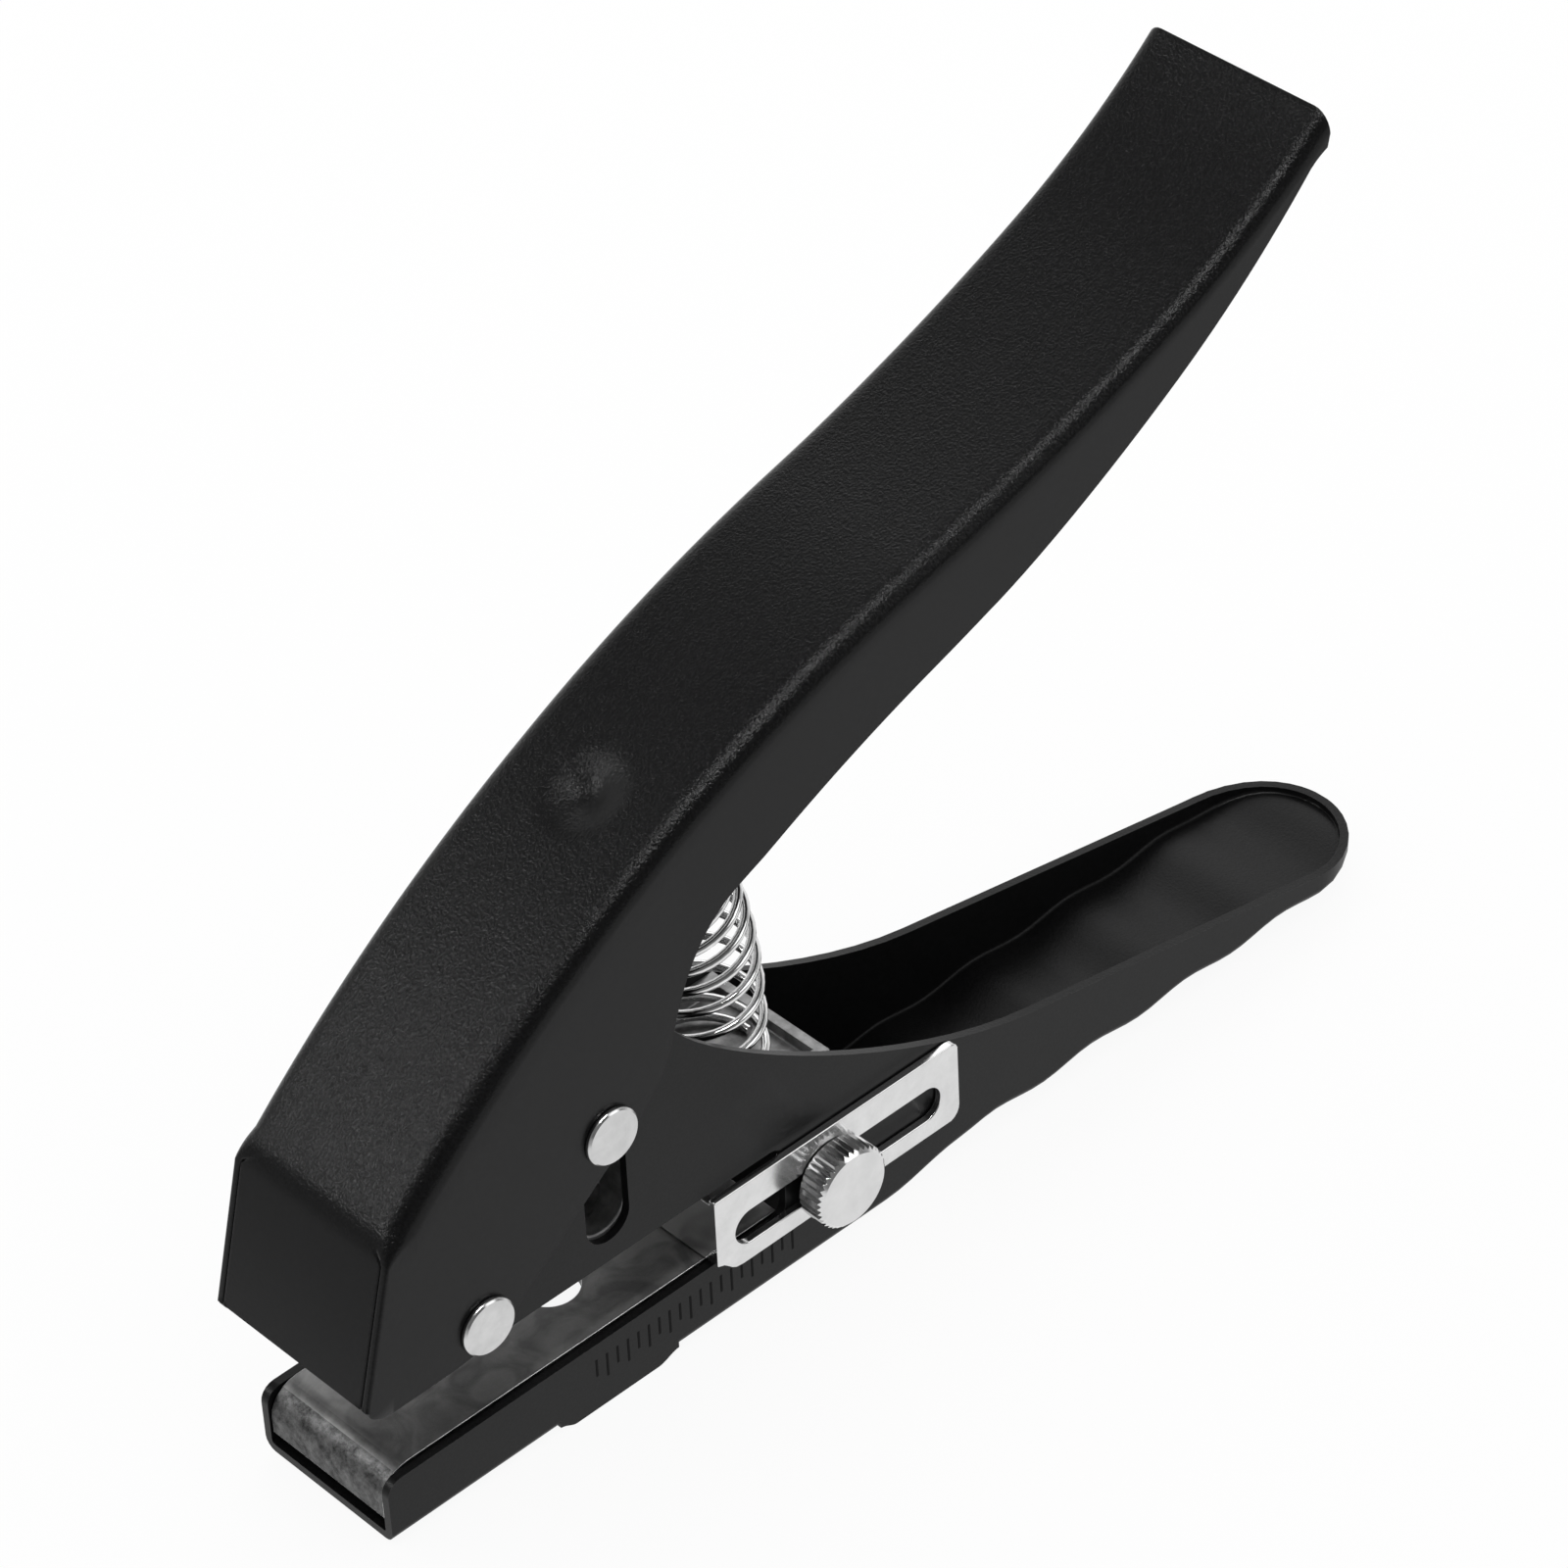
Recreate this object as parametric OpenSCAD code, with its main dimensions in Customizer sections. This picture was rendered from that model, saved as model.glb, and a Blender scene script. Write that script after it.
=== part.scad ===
// Single hole punch: a black sheet-steel lever over a channel body with a paper throat.
// X runs from the nose to the tail, Y runs across (near side is -Y), Z is up.
// The feet under the nose stand on Z = 0, under the middle of the outline. Sizes are in mm.

/* [Sheet] */
// Thickness of the body and lever sheet
sheet = 1.1; // [1:0.1:1.4]
// Outside radius of the long bends of the lever
bend = 2.2; // [1.8:0.1:3]
// Outside radius of the sharp bend along the near edge of the floor
bend_near = 1.2; // [1.2:0.1:2]
// Outside radius of the soft bend along the far edge of the floor
bend_far = 1.6; // [1.4:0.1:3]

/* [Body] */
// Outside width of the body channel
body_width = 21.7; // [20:0.1:26]
// Length from the nose to the end of the tail
body_length = 162; // [155:0.5:175]
// Height of the nose walls above the underside of the floor
nose_height = 8.8; // [8:0.1:11]
// How far the wall feet reach below the floor
foot_drop = 0.9; // [0.6:0.1:1.6]
// Length of the wall feet and of the chip opening between them
foot_length = 18; // [15:0.5:20]
// Clear height of the paper throat
throat_height = 11; // [10:0.5:13]
// Depth of the paper throat from the nose
throat_depth = 60; // [58:0.5:61]
// Height of the cheeks above the throat
cheek_rise = 26.6; // [25:0.2:27.5]
// Height of the rim at the tail above the underside of the floor
tail_rim = 4.4; // [4.2:0.1:6]

/* [Finger grip] */
// Where the floor starts to lift into the grip
grip_start = 76; // [72:1:80]
// How far the grip floor lifts
grip_lift = 2; // [1:0.1:2.4]
// Half height of the finger waves
wave_height = 0.45; // [0.2:0.05:0.6]
// Length of one finger wave
wave_pitch = 16.4; // [14:0.2:20]

/* [Lever] */
// Gap between the cheeks of the lever and of the body
cheek_gap = 0.75; // [0.5:0.05:1.2]
// How far each side of the lever flares out towards the tip
lever_flare = 1.1; // [0:0.1:1.6]
// Slope of the lever top at its front, in degrees
slope_front = 45; // [42:0.5:47]
// Slope of the lever top over the spring, in degrees
slope_shoulder = 34; // [32:0.5:37]
// Slope of the lever top at its waist, in degrees
slope_waist = 15; // [13:0.5:18]
// Slope of the lever top in the palm, in degrees
slope_palm = 24; // [21:0.5:26]
// Slope of the lever top at its tip, in degrees
slope_tip = 41; // [38:0.5:46]
// Depth of the lever sides behind the cheeks
side_heel = 16.6; // [15:0.1:19]
// Depth of the lever sides at the waist
side_waist = 13.5; // [12:0.1:16]
// Depth of the lever sides at the tip
side_tip = 3.6; // [3.2:0.1:6]
// Swing of the lever from open to closed, in degrees
swing = 30; // [28:0.5:31]

/* [Linkage] */
// Distance of the punch axis from the nose
punch_x = 33.4; // [33:0.1:34.5]
// Distance of the fulcrum from the nose
pivot_x = 14.2; // [13.5:0.1:15]
// Height of the fulcrum above the throat
pivot_rise = 5; // [4.8:0.1:6]
// Height of the drive pin above the throat with the lever open
pin_rise = 20.2; // [19.5:0.1:21]
// Diameter of the rivet shanks
shank = 4.8; // [4.4:0.1:5]
// Diameter of the rivet heads
rivet_head = 7.3; // [7:0.1:8]
// Side play of the drive pin in the cheek slots
slot_play = 0.4; // [0.35:0.05:0.5]
// Radial play of a turning fit
turn_play = 0.15; // [0.1:0.05:0.25]

/* [Punch and die] */
// Diameter of the punched hole
hole = 7.1; // [6:0.1:7.4]
// Wall thickness of the hollow die bar
die_wall = 1.5; // [1.2:0.1:1.8]
// Radius of the bent front edge of the die bar
die_bend = 4; // [3:0.1:5]
// Gap under the front edge of the die bar
die_gap = 1.75; // [1.2:0.05:2.2]

/* [Spring] */
// Wire diameter of the return spring
wire = 1.1; // [0.9:0.05:1.2]
// Outside diameter of the return spring
spring_od = 15.6; // [14.6:0.1:16]
// Number of curls
curls = 14; // [11:0.5:14]
// Place of the spring axis behind the nose
spring_x = 58.2; // [58:0.1:59]
// Height of the spring tray's rim above the throat
tray_rise = 8; // [7.4:0.1:8.6]
// Depth of the spring tray
tray_depth = 1.5; // [1:0.1:2]

/* [Depth stop] */
// Thickness of the stop plate
plate = 1; // [0.8:0.1:1.2]
// Length of the stop plate
plate_length = 38.4; // [37.6:0.2:40]
// Height of the stop plate
plate_height = 11.7; // [11.2:0.1:12.4]
// Width of the slot in the stop plate
plate_slot = 4.7; // [4.5:0.1:5]
// Place of the thumb screw behind the end of the throat
screw_x = 5.9; // [5:0.1:7]
// How far the stop plate reaches in front of the thumb screw
stop_reach = 17.5; // [9:0.5:26]
// Shank diameter of the thumb screw
screw = 4; // [3.6:0.1:4]
// Diameter of the knurled head
knob = 10.7; // [9:0.1:11]
// Thickness of the knurled head
knob_height = 4; // [3.2:0.1:4.6]
// Number of knurls around the head
knurls = 40; // [24:1:48]
// Depth of the knurls
knurl_depth = 0.35; // [0.2:0.05:0.5]
// Chamfer of the knurled head
knob_chamfer = 0.6; // [0.4:0.05:0.8]
// Width of the nut across its flats
nut_width = 7; // [6.6:0.1:7.4]
// Height of the nut
nut_height = 3.2; // [2.6:0.1:3.6]

/* [Hidden] */
$fn = 48;

fit = 0.1;
z0 = foot_drop;
half = body_width / 2;
inner = half - sheet;
wall_top = z0 + nose_height;
throat_top = wall_top + throat_height;
cheek_top = throat_top + cheek_rise;
foot_start = punch_x + 0.4 - foot_length / 2;
foot_end = foot_start + foot_length;
cheek_front = 3.6;
cheek_peak = 19;
cheek_back = 45;
cheek_foot = 100;
tail_round = half + 1;
rim_bow = 14;

// Lever geometry: the pin runs down the upright slots while the fulcrum slides forward
pivot_z = throat_top + pivot_rise;
pin_z = throat_top + pin_rise;
arm = norm([punch_x - pivot_x, pin_z - pivot_z]);
arm_slope = atan2(pin_z - pivot_z, punch_x - pivot_x);
stroke = arm * (sin(arm_slope) - sin(arm_slope - swing));
fulcrum_slide = arm * (cos(arm_slope - swing) - cos(arm_slope));
pin_bow = arm * cos(arm_slope - swing / 2) - arm * (cos(arm_slope) + cos(arm_slope - swing)) / 2;
pin_lag = arm * sin(arm_slope - swing / 2) - arm * (sin(arm_slope) + sin(arm_slope - swing)) / 2;
slot_width = shank + pin_bow + 2 * slot_play;
slot_x = punch_x + pin_bow / 2;
slot_low = pin_z - stroke - 5.6;
slot_high = pin_z + shank / 2 + 1;

lever_half = half + cheek_gap + sheet;
lever_inner = half + cheek_gap;
lever_front = 2.9;
lever_rise = 24.1;
lever_start = [lever_front, throat_top + lever_rise];
shoulder_run = 34;
waist_run = 94;
palm_run = 134;
lever_run = 162.2;
lever_steps = 32;
flare_x = 45;
heel_x = 58;
waist_x = 92;
flap_reach = 2.9;
flap_low = 3.4;
flap_foot = [-flap_reach, throat_top + flap_low];
flap_lean = 75.5;
flap_corner = 3.6;
flap_drop = 2.1;
tip_round = 2.6;
nub_run = 52;
nub_width = 4.4;
nub_depth = 3.4;

die_half = inner - 0.25;
die_top = wall_top + 0.25;
tray_top = throat_top + tray_rise;
tray_floor = tray_top - tray_depth;
tray_half = spring_od / 2 + 0.45;
tray_rim = 1.4;
block_low = throat_top + 0.2;
head_d = 13;
bush = 2.4;
head_low = block_low + bush + stroke + 0.5;
tower_top = cheek_top - 1.6;

screw_place = throat_depth + screw_x;
screw_z = wall_top + 3.5;
plate_front = screw_place - stop_reach;
plate_low = screw_z - 5;
knob_y = -(half + 2 * fit + plate);

// Drawn from the nose and the middle of the body, then set over the middle of the outline
home = [-(flap_foot[0] + body_length) / 2, (knob_height - knob_y - lever_half - lever_flare) / 2, 0];

function lerp(a, b, t) = a + (b - a) * t;
function ease(t) = let (u = min(max(t, 0), 1)) u * u * (3 - 2 * u);
function curve(p, q, r, s, n) =
  [for (i = [1:n]) let (t = i / n, u = 1 - t)
    u * u * u * p + 3 * u * u * t * q + 3 * u * t * t * r + t * t * t * s];

// Closed skin through a list of equal point rings
module loft(rings) {
  m = len(rings[0]);
  n = len(rings);
  points = [for (ring = rings) each ring];
  sides = [for (i = [0:n - 2], j = [0:m - 1])
    let (a = i * m + j, b = i * m + (j + 1) % m) each [[a, b + m, b], [a, a + m, b + m]]];
  first = [for (j = [0:m - 1]) j];
  last = [for (j = [m - 1:-1:0]) (n - 1) * m + j];
  polyhedron(points, concat([first, last], sides), convexity = 8);
}

// Solid with a side view drawn in X and Z, centred on Y
module side(width, outline) {
  rotate([90, 0, 0])
    linear_extrude(width, center = true)
      polygon(outline);
}

// Round bar across the body
module across(x, z, d, width) {
  translate([x, 0, z])
    rotate([90, 0, 0])
      cylinder(d = d, h = width, center = true);
}

// Upright slot through the whole width
module upright_slot(x, low, high, w) {
  across(x, low + w / 2, w, 4 * body_width);
  across(x, high - w / 2, w, 4 * body_width);
  translate([x - w / 2, -2 * body_width, low + w / 2])
    cube([w, 4 * body_width, high - low - w]);
}

// Level slot through the whole width
module level_slot(from, to, z, w) {
  across(from, z, w, 4 * body_width);
  across(to, z, w, 4 * body_width);
  translate([from, -2 * body_width, z - w / 2])
    cube([to - from, 4 * body_width, w]);
}

// Body channel
function floor_z(x) = z0 + grip_lift * ease((x - grip_start) / 13)
  - wave_height * ease((x - grip_start - 8) / 10) * cos(360 * (x - grip_start - 25.8) / wave_pitch);

function u_ring(x, hw, low, near, far, high) = let (p = min(near, 0.9 * hw), q = min(far, 0.9 * hw)) concat(
  [[x, -hw, high]],
  [for (i = [0:4]) [x, -hw + p - p * cos(22.5 * i), low + p - p * sin(22.5 * i)]],
  [for (i = [4:-1:0]) [x, hw - q + q * cos(22.5 * i), low + q - q * sin(22.5 * i)]],
  [[x, hw, high]]);

function end_rise(x, end, r) = let (u = min(max(x - end + r, 0), r)) r - sqrt(r * r - u * u);

module channel(grow, lift, from) {
  hw = half - grow;
  near = max(bend_near - grow, 0.3);
  far = max(bend_far - grow, 0.3);
  turn = body_length - tail_round;
  round = tail_round - grow;
  run = turn - grip_start;
  count = ceil(run / (wave_pitch / 8));
  high = cheek_top + 8;
  stations = concat([from], [for (i = [0:count]) grip_start + run * i / count]);
  straight = [for (x = stations) u_ring(x, hw, floor_z(x) + lift, near, far, high)];
  tail = [for (a = [12, 24, 36, 47, 57, 66, 74, 80, 85])
    let (x = turn + round * sin(a))
      u_ring(x, hw * cos(a), floor_z(x) + lift + end_rise(x, turn + round, near), near, far, high)];
  loft(concat(straight, tail));
}

function body_outline() =
  let (rim = z0 + tail_rim,
       rim_back = [body_length - rim_bow, rim + 0.9],
       foot = [cheek_foot, lerp(rim, throat_top, 0.65)],
       fall = (foot[1] - rim_back[1]) / (rim_back[0] - foot[0]),
       bow = lerp(cheek_back, cheek_foot, 0.637))
  concat(
  [[-4, -4], [body_length + 4, -4], [body_length + 4, rim], [body_length - 4, rim]],
  curve([body_length - 4, rim], [body_length - 8, rim], rim_back + 3.5 * [1, -fall], rim_back, 5),
  [foot],
  curve(foot, [bow, foot[1] + fall * (cheek_foot - bow)],
        [lerp(cheek_back, cheek_foot, 0.109), lerp(throat_top, cheek_top, 0.672)],
        [cheek_back, cheek_top], 16),
  [[cheek_peak, cheek_top], [cheek_front, lerp(throat_top, cheek_top, 0.605)], [cheek_front, throat_top]],
  [[throat_depth - 2, throat_top]],
  [for (i = [1:5]) [throat_depth - 2 + 2 * sin(18 * i), throat_top - 2 + 2 * cos(18 * i)]],
  [for (i = [0:4]) [throat_depth - 2 + 2 * cos(18 * i), wall_top + 2 - 2 * sin(18 * i)]],
  [[throat_depth - 2, wall_top]],
  [for (i = [0:5]) [2 - 2 * sin(18 * i), wall_top - 2 + 2 * cos(18 * i)]],
  [[0, -4]]);

function foot_outline() = concat(
  [[foot_start, z0 + 3]],
  [for (i = [0:8]) [foot_start + 0.3 * i, z0 * (1 - ease(i / 8))]],
  [for (i = [8:-1:0]) [foot_end - 0.4 * i, z0 * (1 - ease(i / 8))]],
  [[foot_end, z0 + 3]]);

module body_shell() {
  color([0.11, 0.11, 0.115])
    translate(home)
      difference() {
        union() {
          intersection() {
            difference() {
              channel(0, 0, 0);
              channel(sheet, sheet, -3);
            }
            side(2 * body_width, body_outline());
          }
          for (s = [-1, 1])
            translate([0, s * (half - sheet / 2), 0])
              side(sheet, foot_outline());
        }
        translate([foot_start + 2, -inner, -1])
          cube([foot_length - 2.2, 2 * inner, z0 + sheet + 1.6]);
        upright_slot(slot_x, slot_low, slot_high, slot_width);
        level_slot(pivot_x - fulcrum_slide, pivot_x, pivot_z, shank + 2 * turn_play);
        translate([screw_place, -half + sheet / 2, screw_z])
          rotate([90, 0, 0])
            cylinder(d = screw + 2 * turn_play, h = 3 * sheet, center = true);
      }
}

// Hollow die bar, its front edge bent down over the nose
function die_outline(grow) = concat(
  [[throat_depth - 0.4 - grow, z0 + sheet], [throat_depth - 0.4 - grow, die_top - grow]],
  [for (i = [0:6]) let (r = die_bend - grow, c = 0.2 + die_bend)
    [c - r * sin(15 * i), die_top - die_bend + r * cos(15 * i)]],
  [[0.2 + grow, z0 + sheet]]);

module die_bar() {
  color([0.5, 0.5, 0.5])
    translate(home)
      difference() {
        intersection() {
          side(2 * die_half, die_outline(0));
          rotate([90, 0, 90])
            linear_extrude(throat_depth)
              polygon([[-die_half, die_top], [-die_half, z0 + sheet + 1.5], [-die_half + 1.5, z0 + sheet],
                       [die_half - 1.5, z0 + sheet], [die_half, z0 + sheet + 1.5], [die_half, die_top]]);
        }
        translate([0, 0, -0.01])
          side(2 * (die_half - die_wall), die_outline(die_wall));
        translate([-1, -half, z0])
          cube([7, 2 * half, sheet + die_gap]);
        translate([punch_x, 0, z0])
          cylinder(d = hole + 0.2, h = die_top);
      }
}

// Casting that guides the punch and carries the spring tray
module guide_block() {
  front = punch_x - 9.2;
  back = punch_x + 9.2;
  tray_front = spring_x - tray_half;
  tray_back = spring_x + tray_half + 1;
  notch = slot_width / 2 + 0.3;
  notch_low = slot_low + 0.6;
  color([0.56, 0.56, 0.56])
    translate(home)
      difference() {
        side(2 * inner, [[front, block_low], [tray_back + tray_rim, block_low],
                         [tray_back + tray_rim, tray_top], [back, tray_top], [back, tower_top],
                         [front, tower_top]]);
        translate([tray_front, -tray_half, tray_floor])
          cube([tray_back - tray_front, 2 * tray_half, 10]);
        translate([punch_x, 0, block_low + bush])
          cylinder(d = head_d + 2 * 0.3, h = cheek_top);
        translate([punch_x, 0, block_low - 1])
          cylinder(d = hole + 2 * 0.2, h = 6);
        side(body_width, concat([[slot_x + notch, 2 * tower_top], [slot_x - notch, 2 * tower_top]],
          [for (i = [0:12]) [slot_x - notch * cos(15 * i), notch_low + notch - notch * sin(15 * i)]]));
      }
}

// Nut behind the near wall for the thumb screw
module stop_nut() {
  color([0.62, 0.62, 0.62])
    translate(home)
      translate([screw_place, -inner, screw_z])
        rotate([-90, 0, 0])
          difference() {
            cylinder(d = nut_width / cos(30), h = nut_height, $fn = 6);
            translate([0, 0, -1])
              cylinder(d = screw + 2 * turn_play, h = nut_height + 2);
          }
}

// Punch with a round-ended head that the drive pin pushes
module punch() {
  low = throat_top + 0.1;
  color([0.7, 0.7, 0.7])
    translate(home)
      difference() {
        union() {
          translate([punch_x, 0, low])
            cylinder(d = hole - 0.1, h = head_low - low + 1);
          intersection() {
            translate([punch_x, 0, head_low])
              cylinder(d = head_d, h = 2 * (pin_z - head_low));
            across(punch_x, pin_z, 2 * (pin_z - head_low), body_width);
          }
        }
        level_slot(punch_x + 0.1, slot_x + pin_bow / 2 - 0.1, pin_z + pin_lag / 2,
                   shank + pin_lag + 2 * 0.3);
      }
}

// Rivet across the lever with two slightly domed heads
module rivet(x, z, d) {
  face = lever_half;
  r = rivet_head / 2;
  translate([x, 0, z])
    rotate([90, 0, 0])
      union() {
        cylinder(d = d, h = 2 * face + 0.2, center = true);
        for (s = [0, 1])
          mirror([0, 0, s])
            translate([0, 0, face])
              rotate_extrude()
                polygon([[0, 0], [r - 0.15, 0], [r, 0.15], [r, 0.55], [r - 0.25, 0.8],
                         [r - 1.2, 0.95], [0, 1.02]]);
      }
}

module pivot_rivet() {
  color([0.8, 0.8, 0.8])
    translate(home)
      rivet(pivot_x, pivot_z, shank);
}

module drive_pin() {
  color([0.8, 0.8, 0.8])
    translate(home)
      rivet(punch_x, pin_z, shank);
}

// Top line of the lever, drawn by its slope
function slope_at(s) = lookup(s, [[0, slope_front], [shoulder_run, slope_shoulder],
  [waist_run, slope_waist], [palm_run, slope_palm], [lever_run, slope_tip]]);
lever_step = lever_run / lever_steps;
function lever_way(i) = let (a = slope_at((i + 0.5) * lever_step)) [cos(a), sin(a)];
lever_line = [for (i = 0, p = lever_start; i <= lever_steps; p = p + lever_step * lever_way(i), i = i + 1) p];
lever_tip = lever_line[lever_steps];

function top_z(x) = lookup(x, lever_line);
function side_depth(x) = x < waist_x ? lerp(side_heel, side_waist, max(x - heel_x, 0) / (waist_x - heel_x))
  : lerp(side_waist, side_tip, pow(min((x - waist_x) / (lever_tip[0] - tip_round - waist_x), 1), 1.3));
function flare(x) = lever_flare * min(max((x - flare_x) / (lever_tip[0] - flare_x), 0), 1);

module ridge(hw, drop, r) {
  ahead = lever_start - 14 * [cos(slope_front), sin(slope_front)];
  after = lever_tip + 6 * [cos(slope_tip), sin(slope_tip)];
  line = concat([ahead], lever_line, [after]);
  loft([for (p = line) let (z = p[1] - drop, w = hw + flare(p[0])) concat(
    [[p[0], w, z - 90]],
    [for (i = [0:5]) [p[0], w - r + r * cos(18 * i), z - r + r * sin(18 * i)]],
    [for (i = [5:-1:0]) [p[0], -w + r - r * cos(18 * i), z - r + r * sin(18 * i)]],
    [[p[0], -w, z - 90]])]);
}

flap_dir = [cos(flap_lean), sin(flap_lean)];
flap_in = [sin(flap_lean), -cos(flap_lean)];
flap_rise = (lever_start[1] - flap_foot[1]) / flap_dir[1];
pivot = [pivot_x, pivot_z];
pin = [punch_x, pin_z];

function lever_outline() =
  let (corner = flap_foot + (flap_rise - 0.4) * flap_dir,
       front_dir = [cos(slope_front), sin(slope_front)],
       ear = rivet_head / 2,
       heel = [heel_x - ear, top_z(heel_x - ear) - side_depth(heel_x)],
       rear = pin + ear * [2.68, 2.03],
       under = pin + ear * [-0.52, -1.53],
       notch = pivot + ear * [1.37, -0.03],
       tip_x = lever_tip[0] - 0.62 * tip_round,
       tip_low = [tip_x, top_z(tip_x) - side_tip],
       lip = flap_foot + [flap_corner, -flap_drop])
  concat(
    [flap_foot, corner - 1.2 * flap_dir],
    curve(corner - 1.2 * flap_dir, corner - 0.4 * flap_dir, corner + 0.3 * front_dir,
          corner + 1.4 * front_dir + [0, 0.3], 4),
    [corner + [0.4, 12], lever_tip + [-20, 12], lever_tip + [0, 4], lever_tip],
    curve(lever_tip, lever_tip + tip_round * [1, -0.23], lever_tip + tip_round * [1.08, -1.15], tip_low, 5),
    [for (i = [1:14]) let (x = lerp(tip_low[0], heel[0], i / 14)) [x, top_z(x) - side_depth(x)]],
    curve(heel, heel + ear * [-1.6, -0.65], rear + ear * [0.6, 2.2], rear, 9),
    curve(rear, rear + ear * [-0.33, -1.37], under + ear * [1.64, 1.26], under, 8),
    [notch],
    curve(notch, notch + ear * [-0.16, -0.44], notch + ear * [-1.1, -0.85],
          pivot + ear * [-1.26, -0.99], 6),
    [lip],
    curve(lip, lip - [flap_corner / 2, 0], flap_foot + [0.1 * flap_corner, -0.57 * flap_drop],
          flap_foot, 5));

module top_handle() {
  seam = 0.3;
  nub = lookup_nub();
  lean = slope_at(nub_run);
  color([0.1, 0.1, 0.105])
    translate(home)
      difference() {
        union() {
          intersection() {
            difference() {
              ridge(lever_half, 0, bend);
              ridge(lever_inner, sheet / cos(slope_shoulder), bend - sheet);
            }
            side(4 * body_width, lever_outline());
          }
          intersection() {
            side(2 * (lever_inner - seam), [flap_foot, flap_foot + (flap_rise + 3) * flap_dir,
                 flap_foot + (flap_rise + 3) * flap_dir + sheet * flap_in, flap_foot + sheet * flap_in]);
            side(4 * body_width, lever_outline());
            ridge(lever_half, 0, bend);
          }
          translate([nub[0], 0, nub[1]])
            rotate([0, -lean, 0])
              translate([0, 0, -nub_depth])
                cylinder(d1 = nub_width, d2 = nub_width + 2 * nub_depth, h = nub_depth - sheet + 0.3);
        }
        translate([nub[0], 0, nub[1]])
          rotate([0, -lean, 0])
            translate([0, 0, sheet - nub_depth])
              cylinder(d1 = nub_width - 2.8, d2 = nub_width + 2 * nub_depth - 2,
                       h = nub_depth - sheet + 0.2);
        across(pivot_x, pivot_z, shank + 2 * turn_play, 4 * body_width);
        across(punch_x, pin_z, shank, 4 * body_width);
      }
}

// Spring axis: an arc from the tray up to the dimple under the lever
function lookup_nub() = let (k = nub_run / lever_step, i = floor(k))
  lerp(lever_line[i], lever_line[i + 1], k - i);
spring_low = [spring_x, tray_floor + wire / 2 + 0.02];
nub_normal = [-sin(slope_at(nub_run)), cos(slope_at(nub_run))];
spring_high = lookup_nub() - (sheet + 0.25 + wire / 2) * nub_normal;
spring_span = norm(spring_high - spring_low);
coil = (spring_od - wire) / 2;
rings_per_curl = 8;
rings = floor(curls * rings_per_curl);

// Share of the axis covered after t curls, with closed end curls
end_pitch = wire + 0.62;
mid_pitch = (spring_span * 1.01 - 2 * end_pitch) / (curls - 2);
function axis_share(t) =
  (t < 1 ? t * end_pitch : t < curls - 1 ? end_pitch + (t - 1) * mid_pitch
    : end_pitch + (curls - 2) * mid_pitch + (t - curls + 1) * end_pitch)
  / (2 * end_pitch + (curls - 2) * mid_pitch);

axis_up = spring_span * 0.5 * [0, 1];
axis_in = spring_high - spring_span * 0.42 * nub_normal;
function axis_at(u) = let (v = 1 - u)
  v * v * v * spring_low + 3 * v * v * u * (spring_low + axis_up)
  + 3 * v * u * u * axis_in + u * u * u * spring_high;
function axis_way(u) = let (v = 1 - u,
  d = v * v * axis_up + 2 * v * u * (axis_in - spring_low - axis_up) + u * u * (spring_high - axis_in))
  d / norm(d);
function coil_out(i) = let (a = 360 * i / rings_per_curl, w = axis_way(axis_share(i / rings_per_curl)))
  [cos(a) * w[1], sin(a), -cos(a) * w[0]];
function coil_at(i) = let (c = axis_at(axis_share(i / rings_per_curl)))
  [c[0], 0, c[1]] + coil * coil_out(i);
coil_line = [for (i = [0:rings]) coil_at(i)];
least_gap = min([for (i = [0:rings], k = [5:11])
  if (i + k <= rings) norm(coil_line[i + k] - coil_line[i])]) - wire;
echo(spring_least_gap = least_gap);

module return_spring() {
  color([0.75, 0.75, 0.75])
    translate(home)
      loft([for (i = [0:rings])
        let (way = coil_line[min(i + 1, rings)] - coil_line[max(i - 1, 0)],
             t = way / norm(way),
             b = cross(t, coil_out(i)),
             s = b / norm(b),
             n = cross(s, t))
          [for (k = [0:5]) coil_line[i] + wire / 2 * (cos(60 * k) * n + sin(60 * k) * s)]]);
}

// Slotted stop plate, its front end bent in across the throat
module depth_stop() {
  rear = plate_front + plate_length;
  high = plate_low + plate_height;
  foot = wall_top + 0.5;
  color([0.78, 0.78, 0.78])
    translate(home)
      union() {
        difference() {
          translate([0, -half - fit - plate / 2, 0])
            side(plate, concat(
              [[plate_front, high], [plate_front, foot]],
              curve([plate_front, foot], [plate_front + 2, foot - 0.4], [plate_front + 1.6, plate_low],
                    [plate_front + 3.8, plate_low], 5),
              curve([rear - 2, plate_low], [rear - 0.9, plate_low], [rear, plate_low + 0.9],
                    [rear, plate_low + 2], 5),
              curve([rear, high - 1.4], [rear, high - 0.5], [rear - 0.5, high], [rear - 1.4, high], 4)));
          level_slot(plate_front + 2.9 + plate_slot / 2, rear - 3 - plate_slot / 2, screw_z, plate_slot);
        }
        translate([plate_front, -half - fit - plate / 2, foot])
          cube([plate, half + fit + plate / 2 + inner - 1.2, high - foot - 0.6]);
      }
}

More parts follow.
